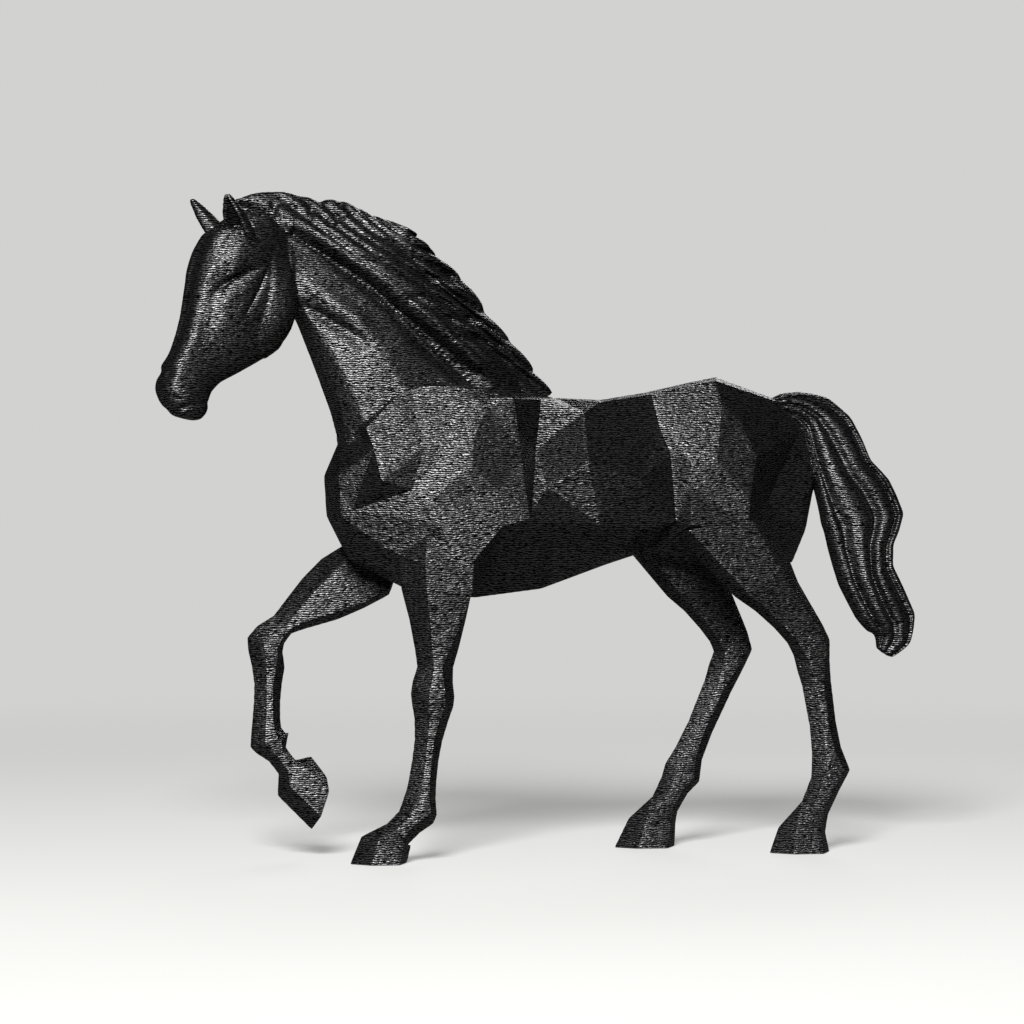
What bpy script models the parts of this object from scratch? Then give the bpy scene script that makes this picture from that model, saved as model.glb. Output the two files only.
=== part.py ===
"""A striding horse in low-poly planes, printed as one solid piece, standing on three of its hooves.

The horse faces -X and its left side faces -Y. All lengths are in metres, +Z is up, and the origin
ends up on the floor under the middle of the horse. The figure is a free form: the tables of its
trunk, limbs, neck and head are in 160ths of its height, and its widths are named by themselves.
"""
import math

import bmesh
import bpy
from mathutils import Vector
from mathutils.bvhtree import BVHTree
from mathutils.geometry import delaunay_2d_cdt

HEIGHT = 0.160
TRUNK_WIDTH = 0.040
NECK_WIDTH = 0.022
HEAD_WIDTH = 0.0150
HEAD_TURN = math.radians(13)
FORE_LEG_WIDTH = 0.0150
HIND_LEG_WIDTH = 0.0180
HOOF_WIDTH = 0.0125
EAR_WIDTH = 0.0060
EAR_WALL = 0.0010
EYE_DEPTH = 0.0016
EYE_WIDTH = 0.0016
CHEEK_GROOVE_DEPTH = 0.0006
MANE_LOCKS = 8
MANE_LOCK_RISE = 0.0034
MANE_GROOVE_RISE = 0.0007
MANE_EDGE_THICKNESS = 0.0034
MANE_SWELL = 0.0022
TAIL_THICKNESS = 0.0116
TAIL_GROOVE_SHARE = 0.50

UNIT = HEIGHT / 160

# The back and belly line in the middle plane: x and z, from the breast over the back to the belly.
TRUNK_LINE = {
    "breast top": (-41.5, 104.5), "neck bed front": (-34, 114), "neck bed": (-20, 117.5),
    "withers": (1.3, 112.8),
    "back": (11, 111.2), "mid back": (22.5, 110.8), "loin": (35.4, 112.9), "croup": (52.4, 116.7),
    "tail head": (68.8, 111.2), "buttock": (76.2, 103.5), "buttock point": (79.2, 92.5),
    "thigh back": (76.4, 79), "thigh": (72.8, 70.8), "groin": (47, 70), "flank": (34, 73.6),
    "rear belly": (23.7, 70.4), "belly": (7.1, 64.6), "girth": (-9.5, 62.6),
    "breastbone": (-27, 65), "breast foot": (-41, 72), "breast low": (-45, 82), "breast": (-46, 91),
}

# The corners of the planes on one side: x, z, and how far out from the middle plane, as a share of
# half the trunk's width.
TRUNK_CORNERS = {
    "neck foot": (-39.8, 103.2, 0.61), "shoulder crest": (-33.2, 109.7, 0.58),
    "blade front top": (-28.5, 113.1, 0.55), "blade top": (-18.1, 113.4, 0.64),
    "blade rear top": (-9.7, 112.2, 0.68), "withers side": (-4.3, 110.5, 0.79),
    "rib top": (3.8, 110.5, 0.58), "blade edge": (-10.9, 108.6, 0.77),
    "blade mid": (-14.7, 100.9, 0.86), "blade low": (-15.7, 94.0, 0.95),
    "blade spot": (-20.8, 99.7, 0.81), "blade hollow": (-26.8, 98.1, 0.78),
    "shoulder point": (-38.2, 98.3, 0.68), "arm point": (-37.4, 90.9, 0.86),
    "arm hollow": (-29.8, 88.6, 0.84), "arm ridge": (-25.9, 85.5, 0.92),
    "arm mid": (-21.5, 90.0, 0.94), "arm rear": (-9.0, 88.1, 0.98),
    "girth top": (-3.0, 98.1, 0.85), "girth mid": (-2.1, 81.7, 1.07), "elbow": (-8.5, 80.3, 1.06),
    "arm low": (-23.5, 81.0, 0.95), "forearm rear": (-16.2, 70.6, 0.95),
    "forearm mid": (-19.2, 71.6, 0.92), "forearm side": (-27.9, 71.4, 0.85),
    "forearm front": (-30.2, 68.7, 0.51),
    "arm front": (-42.3, 83.6, 0.44), "arm lower": (-34.8, 75.1, 0.50),
    "chest cheek": (-45.2, 92.0, 0.36), "chest cheek low": (-44.6, 82.4, 0.36),
    "rib front": (3.3, 98.3, 0.44), "rib front low": (-1.3, 83.4, 1.02),
    "rib mid": (12.5, 95.3, 1.08), "rib high": (13.1, 107.3, 0.81), "rib wide": (3.7, 89.4, 0.82),
    "loin side": (18.4, 109.9, 0.65), "hip front": (33.0, 112.1, 0.40),
    "hip edge": (34.1, 103.8, 0.56), "rib low": (16.9, 80.3, 0.85),
    "flank low": (28.0, 79.1, 0.73), "flank mid": (26.3, 91.1, 0.95),
    "flank rear": (37.4, 81.0, 0.68), "belly side": (5.2, 75.5, 0.70),
    "belly foot": (8.4, 67.7, 0.40), "flank foot": (24.6, 73.7, 0.45),
    "hip peak": (48.7, 115.6, 0.46), "hip rear": (49.7, 110.2, 0.61),
    "hip fold": (53.9, 105.3, 0.70), "hip point": (56.5, 96.7, 0.91),
    "hip mid": (46.0, 95.9, 0.94), "hip low": (39.8, 95.5, 0.88), "hip corner": (35.9, 97.4, 0.70),
    "haunch front": (40.0, 89.7, 0.85), "haunch foot": (39.7, 80.0, 0.89),
    "haunch rear foot": (54.7, 79.5, 0.88), "haunch rear": (54.5, 86.3, 0.94),
    "buttock side": (72.5, 103.6, 0.30), "tail head side": (66.4, 110.8, 0.23),
    "buttock low side": (63.3, 86.3, 0.40), "thigh rear side": (73.0, 79.0, 0.26),
    "buttock rear side": (76.6, 92.0, 0.22), "thigh inner": (66.0, 73.5, 0.55),
    "chest foot side": (-43.2, 74.2, 0.34),
}

# Creases that must be edges between two corners.
TRUNK_CREASES = [
    ("arm front", "arm low"), ("arm front", "arm ridge"), ("arm front", "chest cheek"),
    ("arm front", "shoulder point"), ("arm hollow", "blade spot"), ("arm low", "forearm rear"),
    ("arm lower", "chest cheek low"), ("arm lower", "forearm mid"), ("arm rear", "arm ridge"),
    ("arm ridge", "elbow"), ("belly foot", "flank foot"), ("belly side", "flank foot"),
    ("blade hollow", "blade top"), ("buttock side", "hip fold"),
    ("chest cheek", "chest cheek low"), ("flank rear", "hip corner"), ("girth mid", "girth top"),
    ("girth mid", "rib low"), ("girth top", "rib front low"), ("haunch front", "haunch rear foot"),
    ("hip edge", "loin side"), ("hip edge", "rib mid"), ("hip front", "hip low"),
    ("hip front", "hip mid"), ("hip front", "hip peak"), ("hip front", "loin side"),
    ("hip mid", "hip peak"), ("hip peak", "tail head side"), ("hip rear", "tail head side"),
    ("rib front", "rib front low"), ("rib front", "withers side"), ("rib front low", "rib low"),
]

# A limb's section at a place along its bones: whole numbers are joints. Front and rear depth, half
# width as a share of the leg's, and where the front and rear side edges stand, as shares of the
# depths.
FORE_LIMB = [
    (0.00, 8.0, 7.5, 0.74, 0.50, 0.80), (0.14, 9.6, 8.8, 0.94, 0.48, 0.80),
    (0.33, 8.7, 9.0, 0.98, 0.46, 0.78), (0.52, 6.4, 7.8, 0.82, 0.40, 0.66),
    (0.72, 4.7, 6.4, 0.66, 0.30, 0.40),
    (0.83, 4.0, 5.4, 0.58, 0.20, 0.20), (0.93, 5.1, 5.4, 0.62, 0.25, 0.30),
    (1.02, 5.4, 5.9, 0.65, 0.35, 0.35), (1.10, 4.9, 5.9, 0.60, 0.30, 0.40),
    (1.24, 3.8, 4.8, 0.48, 0.20, 0.30), (1.42, 3.2, 3.8, 0.40, 0.18, 0.22),
    (1.60, 3.3, 3.4, 0.40, 0.18, 0.22), (1.77, 3.6, 3.4, 0.42, 0.20, 0.25),
    (1.90, 4.0, 3.7, 0.46, 0.25, 0.30), (2.02, 4.6, 4.9, 0.52, 0.30, 0.40),
    (2.12, 4.2, 5.5, 0.50, 0.30, 0.40), (2.40, 2.9, 4.6, 0.46, 0.30, 0.30),
    (2.75, 2.9, 4.5, 0.46, 0.30, 0.40),
]
HIND_LIMB = [
    (0.14, 15.0, 6.5, 0.90, 0.92, 0.35), (0.51, 9.3, 7.6, 0.76, 0.84, 0.36),
    (0.64, 6.8, 6.5, 0.62, 0.82, 0.40), (0.78, 5.0, 6.3, 0.52, 0.78, 0.50),
    (0.90, 4.2, 6.2, 0.46, 0.70, 0.60), (0.99, 4.6, 5.8, 0.45, 0.60, 0.55),
    (1.12, 4.4, 4.7, 0.40, 0.40, 0.40), (1.28, 3.6, 4.2, 0.34, 0.20, 0.25),
    (1.60, 3.2, 3.9, 0.31, 0.18, 0.22), (1.82, 3.6, 4.3, 0.34, 0.22, 0.30),
    (1.97, 4.4, 6.0, 0.40, 0.30, 0.50), (2.20, 3.6, 4.7, 0.38, 0.35, 0.40),
    (2.60, 3.2, 4.6, 0.38, 0.30, 0.40),
]

# Each leg: the side it is on, its joints from the trunk to the hoof's crown, and its sole's toe and
# heel. A joint is x, how far out, z.
LEGS = {
    "fore left": (-1, FORE_LIMB, [(-22.3, 12.0, 76.8), (-23.2, 11.0, 40.4), (-25.8, 9.8, 13.5),
                                  (-34.0, 9.5, 5.4)], (-43.1, 0.0), (-28.9, 0.0)),
    "fore right": (1, FORE_LIMB, [(-31.7, 13.0, 75.4), (-58.1, 12.0, 51.6), (-58.5, 10.5, 28.6),
                                  (-51.7, 10.2, 19.9)], (-47.4, 6.6), (-43.6, 19.4)),
    "hind left": (-1, HIND_LIMB, [(49.4, 10.5, 86.3), (72.7, 12.5, 49.6), (77.6, 12.0, 19.6),
                                  (70.7, 12.0, 5.5)], (62.0, 0.0), (78.0, 0.0)),
    "hind right": (1, HIND_LIMB, [(43.2, 10.5, 85.1), (61.4, 12.5, 48.3), (47.3, 13.0, 17.7),
                                  (40.6, 13.0, 6.4)], (30.5, 0.0), (46.5, 0.0)),
}
CROWN_FRONT = 6.4
CROWN_REAR = 6.2
CROWN_SHARE = 0.80

# The neck's sections, each from its throat to its crest: throat x and z, crest x and z, and half
# width as a share of the neck's.
NECK_SECTIONS = [
    (-57.5, 133.0, -66.0, 153.0, 0.50), (-53.6, 129.5, -57.5, 156.0, 0.58),
    (-50.2, 121.4, -45.5, 154.0, 0.70), (-47.4, 114.6, -31.9, 147.5, 0.86),
    (-44.7, 107.8, -20.7, 137.5, 0.98), (-43.1, 102.0, -9.0, 126.0, 1.02),
    (-40.5, 92.3, 2.0, 112.0, 1.00),
]
# Corners of a neck section: a share of the way from throat to crest, and of its half width.
NECK_CORNERS = [(0.0, 0.40), (0.12, 0.80), (0.42, 1.00), (0.68, 0.84), (0.88, 0.58), (1.0, 0.24)]

# The head's sections before it is turned: forward and z of the face and of the jaw, from the poll
# pivot, and the half width of the face, the cheek and the jaw as shares of half the head's width.
HEAD_PIVOT = (-57.0, 0.0)
HEAD_SECTIONS = [
    (9.0, 155.0, -2.0, 147.0, 0.45, 0.66, 0.50), (14.5, 151.9, 0.8, 144.0, 0.55, 0.84, 0.72),
    (18.9, 148.4, 0.4, 139.6, 0.66, 0.97, 0.84), (20.8, 144.6, 0.0, 134.8, 0.70, 1.02, 0.84),
    (22.7, 138.8, -0.4, 129.8, 0.60, 0.98, 0.78), (23.6, 133.2, 0.2, 126.2, 0.55, 0.92, 0.70),
    (24.4, 128.9, 2.4, 122.7, 0.53, 0.84, 0.60), (25.6, 125.1, 7.7, 119.6, 0.50, 0.70, 0.50),
    (27.2, 121.4, 13.2, 116.7, 0.48, 0.60, 0.46), (29.2, 117.8, 17.8, 114.5, 0.49, 0.60, 0.44),
    (30.7, 115.0, 20.5, 111.9, 0.52, 0.66, 0.46), (31.5, 112.2, 21.3, 109.3, 0.48, 0.64, 0.46),
    (30.4, 109.4, 21.4, 107.1, 0.40, 0.54, 0.42), (28.0, 106.8, 22.8, 105.6, 0.28, 0.36, 0.30),
]
HEAD_CORNERS = [(0.0, "face", 0.0), (0.01, "face", 0.72), (0.07, "face", 1.0), (0.24, "cheek", 0.93),
                (0.48, "cheek", 1.0), (0.72, "cheek", 0.93), (0.92, "jaw", 1.0), (0.985, "jaw", 0.60),
                (1.0, "jaw", 0.0)]

# Ears: root and tip as forward, out and z before the head is turned.
EAR_ROOT = (14.0, 4.8, 147.6)
EAR_TIP = (19.8, 8.5, 157.4)
EAR_LEFT_BACK = 1.1


def clear_scene():
    for item in list(bpy.data.objects):
        bpy.data.objects.remove(item, do_unlink=True)


def printed_plastic():
    material = bpy.data.materials.new("matte black printed plastic")
    material.use_nodes = True
    shader = material.node_tree.nodes["Principled BSDF"]
    shader.inputs["Base Color"].default_value = (0.011, 0.011, 0.012, 1)
    shader.inputs["Roughness"].default_value = 0.5
    shader.inputs["Metallic"].default_value = 0.0
    return material


def side_point(x, out, z, side):
    """A point in units, out from the middle plane on the left (-1) or right (1) side, in metres."""
    return Vector((x * UNIT, side * out * UNIT, z * UNIT))


def body_from(name, points, faces):
    """A closed body of triangles with its faces pointing out."""
    shape = bmesh.new()
    corners = [shape.verts.new(point) for point in points]
    for face in faces:
        shape.faces.new([corners[index] for index in face])
    bmesh.ops.triangulate(shape, faces=shape.faces)
    bmesh.ops.recalc_face_normals(shape, faces=shape.faces)
    mesh = bpy.data.meshes.new(name)
    shape.to_mesh(mesh)
    shape.free()
    body = bpy.data.objects.new(name, mesh)
    bpy.context.scene.collection.objects.link(body)
    return body


def loft(name, rings):
    """A body through rings of equally many points, closed at both ends."""
    count = len(rings[0])
    points = [point for ring in rings for point in ring]
    faces = []
    for row in range(len(rings) - 1):
        for step in range(count):
            after = (step + 1) % count
            faces.append((row * count + step, row * count + after,
                          (row + 1) * count + after, (row + 1) * count + step))
    faces.append(tuple(range(count)))
    faces.append(tuple((len(rings) - 1) * count + step for step in reversed(range(count))))
    return body_from(name, points, faces)


def trunk():
    """Two mirrored sides of flat planes that meet along the back and belly line."""
    line = list(TRUNK_LINE.values())
    names = list(TRUNK_LINE) + list(TRUNK_CORNERS)
    flat = [Vector((x, z)) for x, z in line] + [Vector((x, z)) for x, z, _ in TRUNK_CORNERS.values()]
    rim = [(index, (index + 1) % len(line)) for index in range(len(line))]
    creases = [(names.index(first), names.index(last)) for first, last in TRUNK_CREASES]
    found, _, triangles, origins, _, _ = delaunay_2d_cdt(flat, rim + creases, [list(range(len(line)))],
                                                         1, 1e-6)
    outs = [0.0] * len(line) + [share * TRUNK_WIDTH / 2 / UNIT for _, _, share in TRUNK_CORNERS.values()]
    points = []
    near = {}
    far = {}
    for index, place in enumerate(found):
        out = outs[origins[index][0]]
        near[index] = len(points)
        points.append(side_point(place.x, out, place.y, -1))
        far[index] = near[index]
        if out > 0:
            far[index] = len(points)
            points.append(side_point(place.x, out, place.y, 1))
    faces = [tuple(near[corner] for corner in triangle) for triangle in triangles]
    faces += [tuple(far[corner] for corner in reversed(triangle)) for triangle in triangles]
    return body_from("trunk", points, faces)


def bone_frame(joints, place):
    """Centre, forward direction and half-way direction of a limb at a place along its bones."""
    bone = min(int(place), len(joints) - 2)
    share = place - bone
    centre = joints[bone].lerp(joints[bone + 1], share)
    along = (joints[bone + 1] - joints[bone]).normalized()
    if share < 0.2 and bone > 0:
        before = (joints[bone] - joints[bone - 1]).normalized()
        along = before.lerp(along, 0.5 + share / 0.4).normalized()
    if share > 0.8 and bone < len(joints) - 2:
        after = (joints[bone + 2] - joints[bone + 1]).normalized()
        along = along.lerp(after, (share - 0.8) / 0.4).normalized()
    forward = Vector((0, 1, 0)).cross(along).normalized()
    return centre, forward


def limb_ring(centre, forward, front, rear, half, front_edge, rear_edge):
    """A six-cornered section: a ridge at the front and rear, and two edges on each side."""
    across = Vector((0, 1, 0))
    return [
        centre + forward * front,
        centre + forward * front * front_edge - across * half * 0.86,
        centre - forward * rear * rear_edge - across * half,
        centre - forward * rear,
        centre - forward * rear * rear_edge + across * half,
        centre + forward * front * front_edge + across * half * 0.86,
    ]


def leg(name, side, profile, joint_rows, toe, heel):
    joints = [side_point(*row, side) for row in joint_rows]
    leg_width = FORE_LEG_WIDTH if profile is FORE_LIMB else HIND_LEG_WIDTH
    rings = []
    bend = (joints[1] - joints[0]).angle(joints[2] - joints[1])
    lifted = toe[1] > 0
    for place, front, rear, half, front_edge, rear_edge in profile:
        centre, forward = bone_frame(joints, place)
        if profile is HIND_LIMB and place < 0.5:
            forward = Vector((-1, 0, 0)).lerp(forward, place / 0.5).normalized()
        if profile is FORE_LIMB:
            rear *= 1 - 0.7 * bend * math.exp(-((place - 0.84) / 0.18) ** 2)
            rear *= 1 - 0.28 * bend * math.exp(-((place - 1.12) / 0.10) ** 2)
            rear *= 1 + 0.45 * bend * math.exp(-((place - 0.12) / 0.20) ** 2)
            front *= 1 - 0.8 * bend * max(0, 1 - place / 0.6)
        if lifted and place > 2.2:
            rear *= 0.55
        rings.append(limb_ring(centre, forward, front * UNIT, rear * UNIT, half * leg_width / 2,
                               front_edge, rear_edge))
    toe_point = Vector((toe[0] * UNIT, joints[-1].y, toe[1] * UNIT))
    heel_point = Vector((heel[0] * UNIT, joints[-1].y, heel[1] * UNIT))
    sole_forward = (toe_point - heel_point).normalized()
    sole_centre = toe_point.lerp(heel_point, 0.5)
    crown_forward = (sole_forward * (0.4 if lifted else 3) + bone_frame(joints, 2.8)[1]).normalized()
    rings.append(limb_ring(joints[-1], crown_forward, CROWN_FRONT * UNIT, CROWN_REAR * UNIT,
                           HOOF_WIDTH * CROWN_SHARE / 2, 0.5, 0.5))
    sole_depth = (toe_point - heel_point).length / 2
    rings.append(limb_ring(sole_centre, sole_forward, sole_depth, sole_depth, HOOF_WIDTH / 2, 0.45, 0.5))
    return loft(name, rings)


def neck():
    rings = []
    for throat_x, throat_z, crest_x, crest_z, share in NECK_SECTIONS:
        throat = side_point(throat_x, 0, throat_z, -1)
        crest = side_point(crest_x, 0, crest_z, -1)
        near = []
        far = []
        for along, wide in NECK_CORNERS:
            middle = throat.lerp(crest, along)
            out = Vector((0, wide * share * NECK_WIDTH / 2, 0))
            near.append(middle - out)
            far.append(middle + out)
        rings.append(near + far[::-1])
    return loft("neck", rings)


def head_point(forward, out, z):
    """A point of the head, turned to the left about the poll; out is to the horse's left."""
    ahead = Vector((-math.cos(HEAD_TURN), -math.sin(HEAD_TURN), 0))
    left = Vector((math.sin(HEAD_TURN), -math.cos(HEAD_TURN), 0))
    pivot = Vector((HEAD_PIVOT[0] * UNIT, HEAD_PIVOT[1] * UNIT, 0))
    return pivot + ahead * forward * UNIT + left * out + Vector((0, 0, z * UNIT))


def head():
    rings = []
    for face_x, face_z, jaw_x, jaw_z, face_wide, cheek_wide, jaw_wide in HEAD_SECTIONS:
        widths = {"face": face_wide, "cheek": cheek_wide, "jaw": jaw_wide}
        near = []
        far = []
        for share, zone, wide in HEAD_CORNERS:
            forward = face_x + (jaw_x - face_x) * share
            z = face_z + (jaw_z - face_z) * share
            out = wide * widths[zone] * HEAD_WIDTH / 2
            near.append(head_point(forward, out, z))
            if 0 < share < 1 and out > 0:
                far.append(head_point(forward, -out, z))
        rings.append(near + far[::-1])
    return loft("head", rings)


def ear(side):
    """A leaf curled round a hollow that opens forward and outward."""
    rings = []
    for rise, wide in [(-0.25, 0.70), (0.0, 0.92), (0.28, 1.0), (0.58, 0.80), (0.84, 0.42), (1.0, 0.10)]:
        forward, out, z = (root + (tip - root) * rise for root, tip in zip(EAR_ROOT, EAR_TIP))
        if side < 0:
            forward -= EAR_LEFT_BACK
        centre = (forward * UNIT, side * out * UNIT, z * UNIT)
        radius = EAR_WIDTH / 2 * wide
        wall = min(EAR_WALL, radius * 0.5)
        turns = [math.radians(angle) for angle in (-125, -75, -25, 25, 75, 125)]
        back = math.radians(215)
        outer = [(radius * math.cos(back + turn), radius * math.sin(back + turn)) for turn in turns]
        inner = [((radius - wall) * math.cos(back + turn), (radius - wall) * math.sin(back + turn))
                 for turn in reversed(turns[1:-1])]
        ring = []
        for ahead, left in outer + inner:
            ring.append(head_point((centre[0] + ahead) / UNIT, -side * (abs(centre[1]) + left), z))
        rings.append(ring)
    return loft("ear", rings)


def groove(name, side, marks, half_width, depth):
    """A slim wedge along three marks on one side of the head, to be cut away."""
    rings = []
    left = Vector((math.sin(HEAD_TURN), -math.cos(HEAD_TURN), 0)) * side
    start, middle, end = (head_point(forward, side * out, z) for forward, out, z in marks)
    steps = 6
    for step in range(steps + 1):
        share = step / steps
        centre = start * (1 - share) ** 2 + middle * 2 * share * (1 - share) + end * share ** 2
        along = (start.lerp(middle, 1 - share) - start + (end - middle) * share).normalized()
        swell = math.sin(math.pi * (0.08 + 0.84 * share))
        up = along.cross(left).normalized() * half_width * swell
        rings.append([centre + left * depth + up * 1.5, centre - left * depth * swell,
                      centre + left * depth - up * 1.5])
    return loft(name, rings)


def face_grooves():
    """The narrow eyes and the line behind each cheekbone; a side of 1 is the horse's left."""
    cuts = []
    cheek = HEAD_WIDTH / 2
    for side in (1, -1):
        eye = [(19.6, cheek * 0.99, 135.2), (16.6, cheek, 139.0), (10.8, cheek * 0.98, 140.4)]
        line = [(7.7, cheek * 0.98, 141.2), (9.6, cheek * 0.98, 136.0), (13.3, cheek * 0.90, 129.5)]
        cuts.append(groove("eye", side, eye, EYE_WIDTH / 2, EYE_DEPTH))
        cuts.append(groove("cheek line", side, line, EYE_WIDTH / 2, CHEEK_GROOVE_DEPTH))
    return cuts


def between(points, share):
    """A place on a polyline of (x, z) points, by its share of the number of spans."""
    span = min(int(share * (len(points) - 1)), len(points) - 2)
    part = share * (len(points) - 1) - span
    return Vector(points[span]).lerp(Vector(points[span + 1]), part)


def ridge(place):
    """How full a lock is at a place across it: 0 in the grooves beside it, 1 along its middle."""
    return abs(math.sin(math.pi * place)) ** 0.6


# The mane's grooves from the lowest edge to the top: where each leaves the crest, what it bends
# towards, and where it ends on the rear edge.
MANE_ROOTS = [(-69.6, 157.0), (-60.0, 159.6), (-53.5, 158.8), (-48.0, 157.2), (-43.0, 157.6),
              (-38.8, 156.0), (-35.2, 154.2), (-32.4, 153.4), (-29.8, 152.6)]
MANE_BENDS = [(-37.2, 141.2), (-42.5, 142.6), (-42.5, 145.8), (-40.3, 147.0), (-37.8, 147.0),
              (-34.0, 147.4), (-30.6, 148.6), (-29.4, 150.5), (-29.0, 151.7)]
MANE_TIPS = [(-8.0, 110.5), (9.4, 111.6), (5.4, 117.8), (0.0, 125.2), (-7.0, 131.8),
             (-13.4, 139.2), (-19.8, 144.6), (-24.8, 149.0), (-28.0, 151.2)]
# The lowest line starts inside the poll, so the hair leaves no gap over it.
POLL_DIP = Vector((2.5, -5.0))
MANE_STEPS = 14
MANE_WAVE = 1.0
LOCK_STEPS = 4


def drape(place, tree):
    """How far out the neck reaches at a place in side view, in metres."""
    hit = tree.ray_cast(Vector((place.x * UNIT, -HEIGHT, place.y * UNIT)), Vector((0, 1, 0)))[0]
    return -hit.y if hit else 0.0


def mane_line(fan, full):
    """A line of hair in side view, fan from the lowest edge to the top; a full one reaches further."""
    root, bend, tip = (between(row, fan) for row in (MANE_ROOTS, MANE_BENDS, MANE_TIPS))
    tip += (tip - bend).normalized() * 2.0 * full
    root += (root - bend).normalized() * 0.9 * full
    across = Vector((-(tip - root).y, (tip - root).x)).normalized()
    wave = MANE_WAVE * min(1.0, (tip - root).length / 45)
    for step in range(MANE_STEPS + 1):
        share = step / MANE_STEPS
        spot = root * (1 - share) ** 2 + bend * 2 * share * (1 - share) + tip * share ** 2
        if fan == 0:
            spot += POLL_DIP * (1 - share) ** 5
        yield share, spot + across * math.sin(share * 2.6 * math.pi + fan * 8) * wave * share


def mane(tree):
    """One mass of broad locks over the crest; most of it lies on the near side of the neck."""
    rows = MANE_LOCKS * LOCK_STEPS
    points = []
    for row in range(rows + 1):
        fan = row / rows
        full = ridge(row / LOCK_STEPS)
        over = min(1.0, max(0.0, (fan - 0.2) / 0.3))
        for share, spot in mane_line(fan, full):
            reach = drape(spot, tree)
            carved = (1 - full) * (0.15 + 0.85 * abs(math.cos(math.pi * share)) ** 1.5)
            rise = MANE_LOCK_RISE - (MANE_LOCK_RISE - MANE_GROOVE_RISE) * carved
            shown = rise * min(1.0, 0.35 + share * 2.2) if row else -MANE_GROOVE_RISE
            shown += MANE_SWELL * math.sin(math.pi * share ** 1.5) * min(1.0, row / LOCK_STEPS)
            ends = min(1.0, 0.50 + share * 4, 0.42 + (1 - share) * 4)
            near = (max(reach, MANE_EDGE_THICKNESS / 2) + shown) * ends
            buried = (MANE_EDGE_THICKNESS / 4 - reach * 0.8) * ends
            lying = (max(reach, MANE_EDGE_THICKNESS / 2) + rise * 0.6) * ends
            points.append(Vector((spot.x * UNIT, -near, spot.y * UNIT)))
            points.append(Vector((spot.x * UNIT, buried + (lying - buried) * over, spot.y * UNIT)))
    width = MANE_STEPS + 1
    faces = []
    for row in range(rows):
        for step in range(MANE_STEPS):
            corners = [row * width + step, row * width + step + 1,
                       (row + 1) * width + step + 1, (row + 1) * width + step]
            faces.append(tuple(corner * 2 for corner in corners))
            faces.append(tuple(corner * 2 + 1 for corner in reversed(corners)))
    rim = [step for step in range(width)] + [row * width + MANE_STEPS for row in range(1, rows + 1)]
    rim += [rows * width + step for step in range(MANE_STEPS - 1, -1, -1)]
    rim += [row * width for row in range(rows - 1, 0, -1)]
    for first, last in zip(rim, rim[1:] + rim[:1]):
        faces.append((first * 2, first * 2 + 1, last * 2 + 1, last * 2))
    return body_from("mane", points, faces)


# The tail: its middle line, x and z, its half width, and its thickness as a share of the fullest.
TAIL_LINE = [
    (66.0, 108.6, 2.2, 0.36), (70.0, 109.8, 3.0, 0.46), (74.0, 109.6, 3.9, 0.56), (78.6, 107.4, 5.8, 0.66),
    (81.8, 103.3, 7.5, 0.76), (83.8, 98.8, 8.0, 0.84), (86.0, 93.0, 8.3, 0.92), (89.3, 87.2, 10.3, 1.0),
    (91.6, 81.6, 11.2, 1.0), (91.0, 74.8, 8.8, 0.94), (92.4, 67.6, 7.6, 0.90), (96.3, 60.4, 7.4, 0.84),
    (99.4, 55.6, 6.6, 0.72), (99.6, 51.6, 4.9, 0.54), (97.3, 48.0, 2.3, 0.24),
]
# Where its grooves run, as shares of its half width.
TAIL_GROOVES = [-1.0, -0.64, 0.06, 0.72, 1.0]
TAIL_STEPS = 28


def tail_place(share):
    """Middle, half width and thickness share of the tail."""
    row = min(max(share, 0.0), 1.0) * (len(TAIL_LINE) - 1)
    span = min(int(row), len(TAIL_LINE) - 2)
    x, z, half, thick = (a + (b - a) * (row - span) for a, b in zip(TAIL_LINE[span], TAIL_LINE[span + 1]))
    return Vector((x, z)), half, thick


def tail():
    """A flat hank of long locks: its section is scalloped on both sides, with grooves that waver."""
    rings = []
    lanes = (len(TAIL_GROOVES) - 1) * LOCK_STEPS
    for step in range(TAIL_STEPS + 1):
        share = step / TAIL_STEPS
        middle, half, thick = tail_place(share)
        along = (tail_place(share + 0.05)[0] - tail_place(share - 0.05)[0]).normalized()
        across = Vector((-along.y, along.x))
        sides = {-1: [], 1: []}
        for side in sides:
            for lane in range(lanes + 1):
                even = TAIL_GROOVES[lane // LOCK_STEPS]
                if lane % LOCK_STEPS:
                    even += (TAIL_GROOVES[lane // LOCK_STEPS + 1] - even) * (lane % LOCK_STEPS) / LOCK_STEPS
                waver = math.sin(share * 3.4 * math.pi + lane * 0.35 + side) * 0.13 * (1 - even ** 2)
                full = TAIL_GROOVE_SHARE + (1 - TAIL_GROOVE_SHARE) * ridge(lane / LOCK_STEPS)
                place = even + waver
                out = max(0.0, 1 - place * place * 0.94) ** 0.5 * full * thick * TAIL_THICKNESS / 2
                spot = middle + across * place * half
                if abs(even) < 1:
                    sides[side].append(side_point(spot.x, out / UNIT, spot.y, side))
                elif side < 0:
                    sides[side].append(side_point(spot.x, 0, spot.y, side))
        rings.append(sides[-1] + sides[1][::-1])
    return loft("tail", rings)


def drop_pockets(shape):
    """Takes away the closed shells of hollows that are sealed in between the locks of hair."""
    left = set(shape.faces)
    while left:
        shell = {left.pop()}
        front = list(shell)
        while front:
            face = front.pop()
            for edge in face.edges:
                for other in edge.link_faces:
                    if other in left:
                        left.remove(other)
                        shell.add(other)
                        front.append(other)
        corners = [[vert.co for vert in face.verts] for face in shell]
        volume = sum(a.dot(b.cross(c)) for a, b, c in corners) / 6
        if volume < 1e-8:
            verts = {vert for face in shell for vert in face.verts}
            bmesh.ops.delete(shape, geom=list(verts), context="VERTS")


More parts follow.
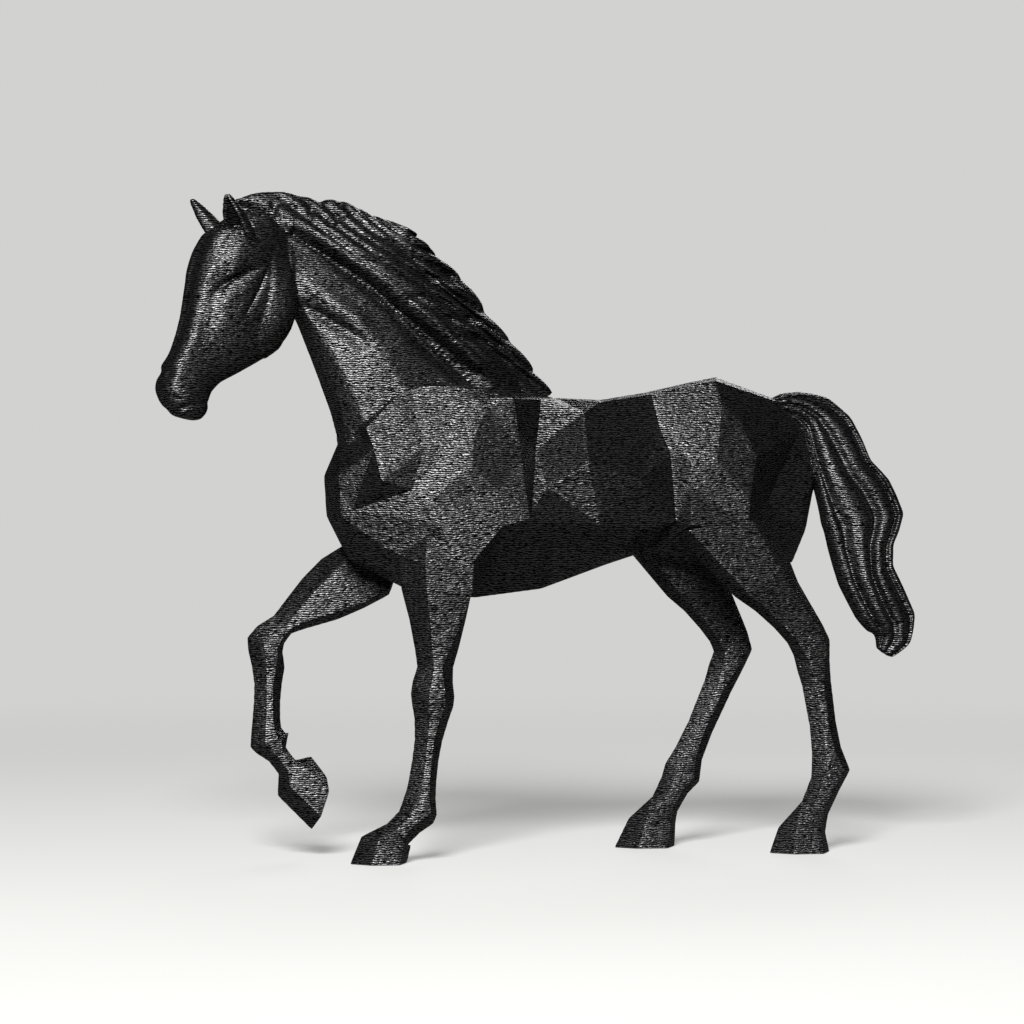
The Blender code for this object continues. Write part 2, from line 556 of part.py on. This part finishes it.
def joined(name, pieces, cuts):
    """One closed body: the union of the pieces, with the cuts taken out."""
    body = bpy.data.objects.new(name, pieces[0].data)
    bpy.context.scene.collection.objects.link(body)
    for title, operation, others in (("union", "UNION", pieces[1:]), ("cuts", "DIFFERENCE", cuts)):
        group = bpy.data.collections.new(title)
        for other in others:
            group.objects.link(other)
        step = body.modifiers.new(title, "BOOLEAN")
        step.operand_type = "COLLECTION"
        step.collection = group
        step.operation = operation
        step.solver = "EXACT"
    bpy.context.view_layer.update()
    whole = body.evaluated_get(bpy.context.evaluated_depsgraph_get())
    mesh = bpy.data.meshes.new_from_object(whole)
    for piece in pieces + cuts + [body]:
        bpy.data.objects.remove(piece, do_unlink=True)
    shape = bmesh.new()
    shape.from_mesh(mesh)
    bmesh.ops.remove_doubles(shape, verts=shape.verts, dist=0.000002)
    bmesh.ops.dissolve_degenerate(shape, edges=shape.edges, dist=0.000002)
    bmesh.ops.triangulate(shape, faces=shape.faces)
    bmesh.ops.delete(shape, geom=[edge for edge in shape.edges if not edge.link_faces], context="EDGES")
    drop_pockets(shape)
    low = [min(vert.co[axis] for vert in shape.verts) for axis in range(3)]
    high = [max(vert.co[axis] for vert in shape.verts) for axis in range(3)]
    shift = Vector((-(low[0] + high[0]) / 2, -(low[1] + high[1]) / 2, -low[2]))
    bmesh.ops.translate(shape, verts=shape.verts, vec=shift)
    shape.to_mesh(mesh)
    shape.free()
    result = bpy.data.objects.new(name, mesh)
    bpy.context.scene.collection.objects.link(result)
    result.data.materials.clear()
    result.data.materials.append(printed_plastic())
    return result


def tree_of(body):
    return BVHTree.FromPolygons([vert.co for vert in body.data.vertices],
                                [tuple(face.vertices) for face in body.data.polygons])


def horse():
    trunk_body = trunk()
    neck_body = neck()
    pieces = [trunk_body, neck_body, head(), mane(tree_of(neck_body)), tail()]
    pieces += [ear(side) for side in (-1, 1)]
    pieces += [leg(name, *row) for name, row in LEGS.items()]
    cuts = face_grooves()
    return joined("horse", pieces, cuts)


clear_scene()
horse()
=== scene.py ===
import math
import bmesh
import bpy
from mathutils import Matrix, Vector
from mathutils.kdtree import KDTree


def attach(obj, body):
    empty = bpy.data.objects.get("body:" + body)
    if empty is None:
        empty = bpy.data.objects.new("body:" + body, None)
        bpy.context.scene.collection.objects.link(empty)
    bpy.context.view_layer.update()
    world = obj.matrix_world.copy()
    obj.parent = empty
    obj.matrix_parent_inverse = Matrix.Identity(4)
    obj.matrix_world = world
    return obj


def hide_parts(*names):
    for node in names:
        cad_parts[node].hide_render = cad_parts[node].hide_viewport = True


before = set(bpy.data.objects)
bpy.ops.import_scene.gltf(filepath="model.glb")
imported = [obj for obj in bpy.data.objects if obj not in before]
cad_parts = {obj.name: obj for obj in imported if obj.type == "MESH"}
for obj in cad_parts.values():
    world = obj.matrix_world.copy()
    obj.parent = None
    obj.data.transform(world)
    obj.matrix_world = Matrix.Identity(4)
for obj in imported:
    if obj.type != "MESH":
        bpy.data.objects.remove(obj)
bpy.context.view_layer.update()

mm = 0.001


# an sRGB hex colour as linear red, green, blue and alpha 1
def linear(hexColour):
    parts = [int(hexColour[place:place + 2], 16) / 255 for place in (1, 3, 5)]
    return [part / 12.92 if part <= 0.04045 else ((part + 0.055) / 1.055) ** 2.4 for part in parts] + [1]


# settings hold socket values and the node's own fields, links what feeds its sockets
def addNode(material, kind, settings=None, links=None):
    node = material.node_tree.nodes.new(kind)
    for name, value in (settings or {}).items():
        if isinstance(name, int) or name in node.inputs:
            node.inputs[name].default_value = value
        else:
            setattr(node, name, value)
    for name, socket in (links or {}).items():
        material.node_tree.links.new(node.inputs[name], socket)
    return node


plastic = {
    "colour": "#020202",        # black PLA, matt
    "roughness": 0.44,
    "ior": 1.46,
    "layer": 0.52 * mm,         # a usual layer of 0.2 mm is too fine to show, so two or three are drawn as one
    "dash": 1.7 * mm,           # how far a layer's edge runs before it wavers
    "waver": 6.5,               # how far a layer wanders up and down, in radians of one layer
    "grain": (0.90 * mm, 0.50 * mm),    # the crumpled skin between the layers: its grains' length and height
    "grainShare": 1.05,         # how much the grain counts beside the layers
    "bump": 1.0,
    "bumpHeight": 0.13 * mm,
    "hollow": (0.68, 0.98),     # the skin's heights from which a place shines not at all, and fully; the hollows below get painted shade, their gloss turned down
    "bandPeriod": 0.314159,     # a band texture repeats after this much of its own z
}


# a pattern's own place, stretched to its length along the layers and its height across them
def stretched(material, place, length, height):
    scale = (1 / length, 1 / length, height)
    return addNode(material, "ShaderNodeMapping", {"Scale": scale}, {"Vector": place.outputs["Object"]})


# black PLA laid down in flat layers: each layer's edge glints in short broken dashes, and the hollows between
# the layers get painted shade
def printedPlastic():
    material = bpy.data.materials.new("printedBlackPla")
    material.use_nodes = True
    tree = material.node_tree
    shader = tree.nodes["Principled BSDF"]
    shader.inputs["Base Color"].default_value = linear(plastic["colour"])
    shader.inputs["IOR"].default_value = plastic["ior"]
    shader.inputs["Roughness"].default_value = plastic["roughness"]
    place = addNode(material, "ShaderNodeTexCoord")
    flat = stretched(material, place, plastic["dash"], plastic["bandPeriod"] / plastic["layer"])
    layers = addNode(material, "ShaderNodeTexWave",
                     {"bands_direction": "Z", "Scale": 1.0, "Distortion": plastic["waver"], "Detail": 2.0,
                      "Detail Scale": 1.0, "Detail Roughness": 0.6},
                     {"Vector": flat.outputs["Vector"]})
    short = stretched(material, place, plastic["dash"], 1 / plastic["layer"])
    broken = addNode(material, "ShaderNodeTexNoise", {"Scale": 1.3, "Detail": 1.0},
                     {"Vector": short.outputs["Vector"]})
    beads = addNode(material, "ShaderNodeMath", {"operation": "MULTIPLY"},
                    {0: layers.outputs["Fac"], 1: broken.outputs["Fac"]})
    rough = stretched(material, place, plastic["grain"][0], 1 / plastic["grain"][1])
    grain = addNode(material, "ShaderNodeTexNoise", {"Scale": 1.0, "Detail": 2.0},
                    {"Vector": rough.outputs["Vector"]})
    skin = addNode(material, "ShaderNodeMath", {"operation": "MULTIPLY_ADD", 1: plastic["grainShare"]},
                   {0: grain.outputs["Fac"], 2: beads.outputs["Value"]})
    bump = addNode(material, "ShaderNodeBump",
                   {"Strength": plastic["bump"], "Distance": plastic["bumpHeight"]},
                   {"Height": skin.outputs["Value"]})
    tree.links.new(shader.inputs["Normal"], bump.outputs["Normal"])
    # painted shade between the layers: the skin's hollows have their gloss turned down and stay dull, while its
    # high places shine
    hollowShade = addNode(material, "ShaderNodeMapRange",
                    {"From Min": plastic["hollow"][0], "From Max": plastic["hollow"][1]},
                    {"Value": skin.outputs["Value"]})
    tree.links.new(shader.inputs["Specular IOR Level"], hollowShade.outputs["Result"])
    return material


# metres, with the focal length in widths of the sensor and the sensor in mm
view = {"turn": math.radians(-17), "distance": 0.883, "height": 0.0834, "aim": (-0.0087, 0.0),
        "focal": 3640 / 1024, "sensor": 36, "farEnd": 20}


def addCamera():
    camera = bpy.data.cameras.new("camera")
    camera.sensor_width = view["sensor"]
    camera.lens = view["focal"] * view["sensor"]
    camera.clip_end = view["farEnd"]
    item = bpy.data.objects.new("camera", camera)
    bpy.context.scene.collection.objects.link(item)
    ahead = Vector((-math.sin(view["turn"]), math.cos(view["turn"]), 0))
    item.location = Vector((*view["aim"], view["height"])) - ahead * view["distance"]
    item.rotation_euler = (math.pi / 2, 0, view["turn"])
    bpy.context.scene.camera = item
    bpy.context.scene.view_settings.view_transform = "Standard"


studio = {
    "pale": "#D2D2D0",          # the backdrop
    "backdrop": 1.0,            # its strength where it is seen
    "ambient": 0.006,           # and as light on the horse
    "table": "#A8A8A6",         # the table top as the camera sees it
    "thrown": "#484848",        # and as it lights the horse from below
    "tableRoughness": 0.8,
    "tableRadius": 6.0,
    "fadeFrom": 0.15,           # metres out to where the table starts to take the backdrop's tone
    "fadeTo": 0.8,              # and to where it has it in full
    "glow": 0.5,                # the backdrop's share in the table under the horse
    # each lamp's power, size and place, and where both point
    "softbox": (84, 0.45, (-0.50, -1.06, 0.77)),
    "backSoftbox": (5, 0.6, (0.62, 1.15, 0.80)),
    "lampTarget": (0, 0, 0.08),
}


def addFloor():
    shape = bmesh.new()
    bmesh.ops.create_circle(shape, cap_ends=True, segments=96, radius=studio["tableRadius"])
    mesh = bpy.data.meshes.new("floor")
    shape.to_mesh(mesh)
    shape.free()
    floor = bpy.data.objects.new("floor", mesh)
    bpy.context.scene.collection.objects.link(floor)
    material = bpy.data.materials.new("paleTableTop")
    material.use_nodes = True
    tree = material.node_tree
    shader = tree.nodes["Principled BSDF"]
    shader.inputs["Roughness"].default_value = studio["tableRoughness"]
    path = addNode(material, "ShaderNodeLightPath")
    # the table is pale to the camera and throws little light back up at the horse
    # sockets 6 and 7 are the two colours that are mixed, and output 2 is the mixed one
    tone = addNode(material, "ShaderNodeMix",
                   {"data_type": "RGBA", 6: linear(studio["thrown"]), 7: linear(studio["table"])},
                   {"Factor": path.outputs["Is Camera Ray"]})
    tree.links.new(shader.inputs["Base Color"], tone.outputs[2])
    # far out the floor takes the backdrop's tone, so no horizon shows
    place = addNode(material, "ShaderNodeTexCoord")
    away = addNode(material, "ShaderNodeVectorMath", {"operation": "LENGTH"}, {0: place.outputs["Object"]})
    fade = addNode(material, "ShaderNodeMapRange",
                   {"interpolation_type": "SMOOTHSTEP", "From Min": studio["fadeFrom"],
                    "From Max": studio["fadeTo"], "To Min": studio["glow"]},
                   {"Value": away.outputs["Value"]})
    share = addNode(material, "ShaderNodeMath", {"operation": "MULTIPLY"},
                    {0: fade.outputs["Result"], 1: path.outputs["Is Camera Ray"]})
    far = addNode(material, "ShaderNodeEmission",
                  {"Color": linear(studio["pale"]), "Strength": studio["backdrop"]})
    blend = addNode(material, "ShaderNodeMixShader", None,
                    {0: share.outputs["Value"], 1: shader.outputs["BSDF"], 2: far.outputs["Emission"]})
    tree.links.new(tree.nodes["Material Output"].inputs["Surface"], blend.outputs["Shader"])
    mesh.materials.append(material)


# the camera sees the backdrop in full, while the horse gets only a trace of light from it
def addBackdrop():
    world = bpy.data.worlds.new("studio")
    world.use_nodes = True
    bpy.context.scene.world = world
    tree = world.node_tree
    seen = tree.nodes["Background"]
    seen.inputs["Color"].default_value = linear(studio["pale"])
    seen.inputs["Strength"].default_value = studio["backdrop"]
    lit = tree.nodes.new("ShaderNodeBackground")
    lit.inputs["Color"].default_value = linear(studio["pale"])
    lit.inputs["Strength"].default_value = studio["ambient"]
    path = tree.nodes.new("ShaderNodeLightPath")
    mix = tree.nodes.new("ShaderNodeMixShader")
    tree.links.new(mix.inputs["Fac"], path.outputs["Is Camera Ray"])
    tree.links.new(mix.inputs[1], lit.outputs["Background"])
    tree.links.new(mix.inputs[2], seen.outputs["Background"])
    tree.links.new(tree.nodes["World Output"].inputs["Surface"], mix.outputs["Shader"])


def addLamp(name):
    power, size, place = studio[name]
    lamp = bpy.data.lights.new(name, "AREA")
    lamp.energy = power
    lamp.shape = "DISK"
    lamp.size = size
    item = bpy.data.objects.new(name, lamp)
    bpy.context.scene.collection.objects.link(item)
    item.location = place
    ahead = Vector(studio["lampTarget"]) - Vector(place)
    item.rotation_euler = ahead.to_track_quat("-Z", "Y").to_euler()


# lengths in mm in the figure's own frame, lines as three places that a curve leaves, bends at and ends at
horse = {
    "shift": -8.7,              # from the figure's own x to the frame's
    "headTurn": math.radians(13),
    "headPivot": -57.0,
    # longest edge left, rounds of smoothing and share of each round, by part
    "parts": {"body": (1.9, 1, 0.25), "neck": (1.3, 6, 0.5), "head": (0.95, 4, 0.5), "ears": (0.8, 2, 0.4),
              "mane": (0.95, 8, 0.5), "maneEnds": (0.95, 1, 0.4), "tail": (1.0, 3, 0.5)},
    "markEdge": 0.75,           # longest edge left beside a carved line
    "markRise": 0.12,           # where a line moves the skin by less, it asks for no finer edges
    "splitRounds": 9,
    "mergeWithin": 1e-7,        # in metres
    "headSwell": 0.85,          # how far the head's skin stands out from its planes
    "swellFrom": 1.0,           # forward of the poll, where that begins
    "swellOver": 5.0,           # and the length over which it grows to all of it
    "earSwell": 0.45,
    # where the parts lie: lowest and highest z, furthest back x, forward of the poll and out from the middle
    "tailLow": 44.0,
    "tailHalf": 7.4,
    "headLow": 98.0,
    "headTop": 153.0,
    "headRear": -50.0,
    "headStart": 0.4,
    "earLow": 149.5,
    "earStart": 11.5,
    "earInner": 2.0,
    "neckLow": 100.0,
    "neckRear": -44.0,
    "maneFoot": 111.0,
    "maneSpan": (-70.0, 14.0),
    "maneNear": 0.9,            # a place this near to the mane's side view belongs to it
    "maneEndsFrom": 0.66,       # share of a lock's length from which its end begins
    # the mane's lowest and highest lines, from the poll back
    "maneLow": [(-69.6, 157.0), (-37.2, 141.2), (-8.0, 110.5)],
    "maneHigh": [(-29.8, 152.6), (-29.0, 151.7), (-28.0, 151.2)],
    "maneRear": [(-8.0, 110.5), (6.0, 122.0), (-28.0, 151.2)],       # across the locks' ends
    "maneFace": (2.8, 1.9),     # width and depth of the slope under the mane's lowest lock
    "maneRows": 40,
    "maneSteps": 60,
    # where the neck ends above the shoulder, in x and z
    "ledge": [(-44.0, 100.0), (-41.0, 104.0), (-33.2, 110.6), (-28.5, 113.9), (-18.1, 114.2), (-9.7, 113.0),
              (0.0, 111.5)],
    # where the tail leaves the rump, in z and x
    "rump": [(112.0, 67.0), (103.5, 76.6), (92.5, 79.6), (79.0, 78.2), (40.0, 78.2)],
    "lineSteps": 40,
    "lineReach": 5.0,           # a line moves nothing farther off
    "faceStrip": 1.5,           # half width of the strip down the face that stays without lines
    "leftFrom": -1.0,           # y from which a place is on the horse's left
    # head lines in forward and z, on both sides: line, half width, how far out
    "headLines": [
        ([(20.0, 134.8), (16.6, 139.2), (10.0, 140.6)], 0.85, -1.3),      # closed eye
        ([(20.6, 140.0), (15.6, 144.2), (9.4, 143.6)], 2.1, 0.85),        # brow
        ([(19.0, 132.0), (15.2, 135.6), (11.4, 137.0)], 1.3, 0.45),       # lower lid
        ([(7.4, 141.6), (9.8, 136.0), (13.6, 129.0)], 0.7, -0.35),        # behind the cheekbone
        ([(11.2, 139.4), (13.6, 133.6), (17.2, 127.6)], 1.8, 0.35),       # cheekbone
        ([(32.8, 112.6), (31.8, 115.4), (29.0, 116.2)], 0.8, -1.0),       # nostril
        ([(29.4, 113.0), (30.4, 117.8), (27.4, 118.0)], 1.2, 0.4),        # nostril rim
        ([(29.8, 107.4), (25.6, 108.8), (21.6, 109.2)], 0.6, -0.6),       # mouth
        ([(1.6, 141.5), (2.0, 133.0), (4.4, 125.0)], 4.2, 2.3),           # jowl
        ([(19.4, 149.0), (22.0, 135.0), (26.6, 119.5)], 1.7, 0.7),        # edge of the face
    ],
    # neck lines on the left side only, in x and z
    "leftLines": [
        ([(-55.0, 132.7), (-47.7, 129.3), (-38.9, 123.0)], 1.3, -1.3),    # throat groove
        ([(-48.2, 143.4), (-37.5, 137.4), (-30.6, 129.6)], 1.5, -1.2),    # hollow under the mane, upper half
        ([(-30.6, 129.6), (-22.2, 121.0), (-12.0, 114.6)], 2.2, -1.9),    # and its lower half
        ([(-52.0, 137.0), (-45.0, 132.6), (-37.5, 126.0)], 2.2, 0.7),     # muscle above the throat groove
        ([(-32.6, 110.0), (-35.0, 106.4), (-38.5, 102.8)], 0.9, -0.7),    # crease above the shoulder
    ],
    # mane lines on both sides, in x and z
    "maneLines": [
        ([(-69.6, 156.6), (-68.0, 157.6), (-65.5, 158.2)], 1.6, 0.9),     # forelock's root
        ([(-59.2, 158.8), (-59.8, 156.1), (-60.6, 153.6)], 0.8, -0.9),
        ([(-53.0, 159.4), (-53.8, 157.7), (-55.8, 155.6)], 0.8, -1.1),
        ([(-49.4, 158.0), (-50.4, 155.9), (-52.0, 153.2)], 0.8, -1.1),
        ([(-41.4, 156.8), (-43.8, 153.7), (-48.0, 151.0)], 0.8, -0.9),
        ([(-40.4, 143.4), (-35.0, 143.4), (-28.4, 142.2)], 0.8, -1.0),
        ([(-26.0, 139.8), (-21.7, 139.0), (-16.5, 138.4)], 0.9, -1.1),
        ([(-30.0, 133.8), (-24.4, 135.4), (-17.6, 132.4)], 0.9, -1.0),
        ([(-22.4, 143.4), (-17.7, 142.0), (-12.0, 137.4)], 0.8, -0.9),
        ([(-19.6, 129.4), (-14.7, 129.2), (-9.0, 129.4)], 0.9, -1.1),
        ([(-17.6, 125.2), (-11.0, 125.4), (-4.0, 122.8)], 0.9, -1.1),
        ([(-22.0, 131.0), (-13.3, 122.8), (-2.0, 113.8)], 0.8, -0.8),
    ],
}


def curvePoint(marks, share):
    return [a * (1 - share) ** 2 + b * 2 * share * (1 - share) + c * share ** 2 for a, b, c in zip(*marks)]


# the second value of rows where their first is at a place, or none beyond their ends
def valueAt(rows, place):
    for (start, startValue), (end, endValue) in zip(rows, rows[1:]):
        if min(start, end) <= place <= max(start, end):
            return startValue + (endValue - startValue) * (place - start) / (end - start)
    return None


# places along carved lines, each with its line's number and width and its own rise, and a tree of them
def lineTree(lines):
    places = []
    for number, (marks, width, rise) in enumerate(lines):
        for step in range(horse["lineSteps"] + 1):
            share = step / horse["lineSteps"]
            # shallower towards both ends
            swell = math.sin(math.pi * (0.05 + 0.9 * share)) ** 0.6
            places.append((*curvePoint(marks, share), number, width, rise * swell))
    tree = KDTree(len(places))
    for index, (x, z, *_) in enumerate(places):
        tree.insert((x, z, 0), index)
    tree.balance()
    return tree, places


# how far out the lines move a place, each line by its nearest point
def lineRise(tree, places, x, z):
    nearest = {}
    for _, index, away in tree.find_range((x, z, 0), horse["lineReach"]):
        number, width, rise = places[index][2:]
        if number not in nearest or away < nearest[number][0]:
            nearest[number] = (away, width, rise)
    return sum(rise * math.exp(-(away / width) ** 2) for away, width, rise in nearest.values())


# a place of the frame in the figure's own frame, in mm
def ownPlace(place):
    return Vector((place.x / mm - horse["shift"], place.y / mm, place.z / mm))


# forward from the poll and out to the horse's left
def headPlace(spot):
    x, y = spot.x - horse["headPivot"], spot.y
    turn = horse["headTurn"]
    return -math.cos(turn) * x - math.sin(turn) * y, math.sin(turn) * x - math.cos(turn) * y


def partOf(spot, mane):
    if spot.z > horse["tailLow"] and abs(spot.y) < horse["tailHalf"]:
        edge = valueAt(horse["rump"], spot.z)
        if edge is not None and spot.x > edge:
            return "tail"
    forward, out = headPlace(spot)
    if spot.z > horse["headLow"] and spot.x < horse["headRear"] and forward > horse["headStart"]:
        if spot.z > horse["earLow"] and forward > horse["earStart"] and abs(out) > horse["earInner"]:
            return "ears"
        if spot.z < horse["headTop"]:
            return "head"
    front, rear = horse["maneSpan"]
    if spot.z > horse["maneFoot"] and front < spot.x < rear:
        tree, lengths = mane
        _, index, away = tree.find((spot.x, spot.z, 0))
        if away < horse["maneNear"]:
            return "maneEnds" if lengths[index] > horse["maneEndsFrom"] else "mane"
    edge = valueAt(horse["ledge"], spot.x)
    if spot.x < horse["neckRear"] and spot.z > horse["neckLow"] or edge is not None and spot.z > edge:
        return "neck"
    return "body"


# the mane in side view between its lowest and highest lines, as a tree and how far along the hair each place is
def maneTree():
    places = []
    rows, steps = horse["maneRows"], horse["maneSteps"]
    for row in range(rows + 1):
        ends = [(a[0] + (b[0] - a[0]) * row / rows, a[1] + (b[1] - a[1]) * row / rows)
                for a, b in zip(horse["maneLow"], horse["maneHigh"])]
        ends[2] = curvePoint(horse["maneRear"], row / rows)
        for step in range(steps + 1):
            places.append((*curvePoint(ends, step / steps), step / steps))
    tree = KDTree(len(places))
    for index, (x, z, _) in enumerate(places):
        tree.insert((x, z, 0), index)
    tree.balance()
    return tree, [length for _, _, length in places]


# how far out the carved lines of its part move a place
def drawnRise(spot, part, lines):
    if part == "head":
        forward, out = headPlace(spot)
        return lineRise(*lines["head"], forward, spot.z) if abs(out) > horse["faceStrip"] else 0
    rise = 0
    if part in ("neck", "mane", "maneEnds") and spot.y < horse["leftFrom"]:
        rise += lineRise(*lines["left"], spot.x, spot.z)
    if part in ("mane", "maneEnds"):
        rise += lineRise(*lines["mane"], spot.x, spot.z)
    return rise


# edges longer than their part's longest are halved, the longest first, until none or no round is left
def splitLong(shape, mane, lines):
    for _ in range(horse["splitRounds"]):
        long = []
        for edge in shape.edges:
            size = edge.calc_length() / mm
            if size <= horse["markEdge"]:
                continue
            spot = ownPlace((edge.verts[0].co + edge.verts[1].co) / 2)
            part = partOf(spot, mane)
            limit = horse["parts"][part][0]
            if size <= limit and abs(drawnRise(spot, part, lines)) > horse["markRise"]:
                limit = horse["markEdge"]
            if size > limit:
                long.append((size, edge))
        if not long:
            break
        for _, edge in sorted(long, key=lambda pair: -pair[0]):
            _, middle = bmesh.utils.edge_split(edge, edge.verts[0], 0.5)
            # each triangle beside it now has four corners, and is cut to the one across
            for face in list(middle.link_faces):
                corners = list(face.verts)
                across = corners[(corners.index(middle) + 2) % 4]
                bmesh.utils.face_split(face, middle, across)


def smoothParts(shape, parts):
    for name, (_, rounds, share) in horse["parts"].items():
        chosen = [vert for vert in shape.verts if parts[vert.index] == name]
        for _ in range(rounds):
            bmesh.ops.smooth_vert(shape, verts=chosen, factor=share, use_axis_x=True, use_axis_y=True,
                                  use_axis_z=True)


# a merged copy of the solid, split finer, with its soft parts rounded and the carved lines added
def horseShape():
    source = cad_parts["horse"]
    shape = bmesh.new()
    shape.from_mesh(source.data)
    bmesh.ops.remove_doubles(shape, verts=shape.verts, dist=horse["mergeWithin"])
    mane = maneTree()
    lines = {"head": lineTree(horse["headLines"]), "left": lineTree(horse["leftLines"]),
             "mane": lineTree(horse["maneLines"])}
    splitLong(shape, mane, lines)
    shape.verts.index_update()
    parts = [partOf(ownPlace(vert.co), mane) for vert in shape.verts]
    smoothParts(shape, parts)
    shape.normal_update()
    moves = []
    width, depth = horse["maneFace"]
    steps = horse["maneSteps"]
    low = [curvePoint(horse["maneLow"], step / steps) for step in range(steps + 1)]
    for vert in shape.verts:
        spot = ownPlace(vert.co)
        part = parts[vert.index]
        rise = drawnRise(spot, part, lines)
        if part == "head":
            forward, _ = headPlace(spot)
            rise += horse["headSwell"] * min(max((forward - horse["swellFrom"]) / horse["swellOver"], 0), 1)
        elif part == "ears":
            rise += horse["earSwell"]
        move = vert.normal * rise
        if part in ("mane", "maneEnds") and spot.y < horse["leftFrom"]:
            away = min(math.hypot(spot.x - x, spot.z - z) for x, z in low)
            move.y += depth * max(0, 1 - away / width)
        moves.append(move * mm)
    for vert, move in zip(shape.verts, moves):
        vert.co += move
    # the body's planes keep their edges
    for face in shape.faces:
        face.smooth = all(parts[vert.index] != "body" for vert in face.verts)
    shape.normal_update()
    print("horse shape", len(shape.faces), "triangles")
    return shape


def addHorse(material):
    shape = horseShape()
    mesh = bpy.data.meshes.new("horseBody")
    shape.to_mesh(mesh)
    shape.free()
    mesh.materials.append(material)
    piece = bpy.data.objects.new("horseBody", mesh)
    bpy.context.scene.collection.objects.link(piece)
    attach(piece, "root")
    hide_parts("horse")


addCamera()
addFloor()
addBackdrop()
addLamp("softbox")
addLamp("backSoftbox")      # weak, so the far side can be read too
print("stage ready")
addHorse(printedPlastic())
print("horse ready")
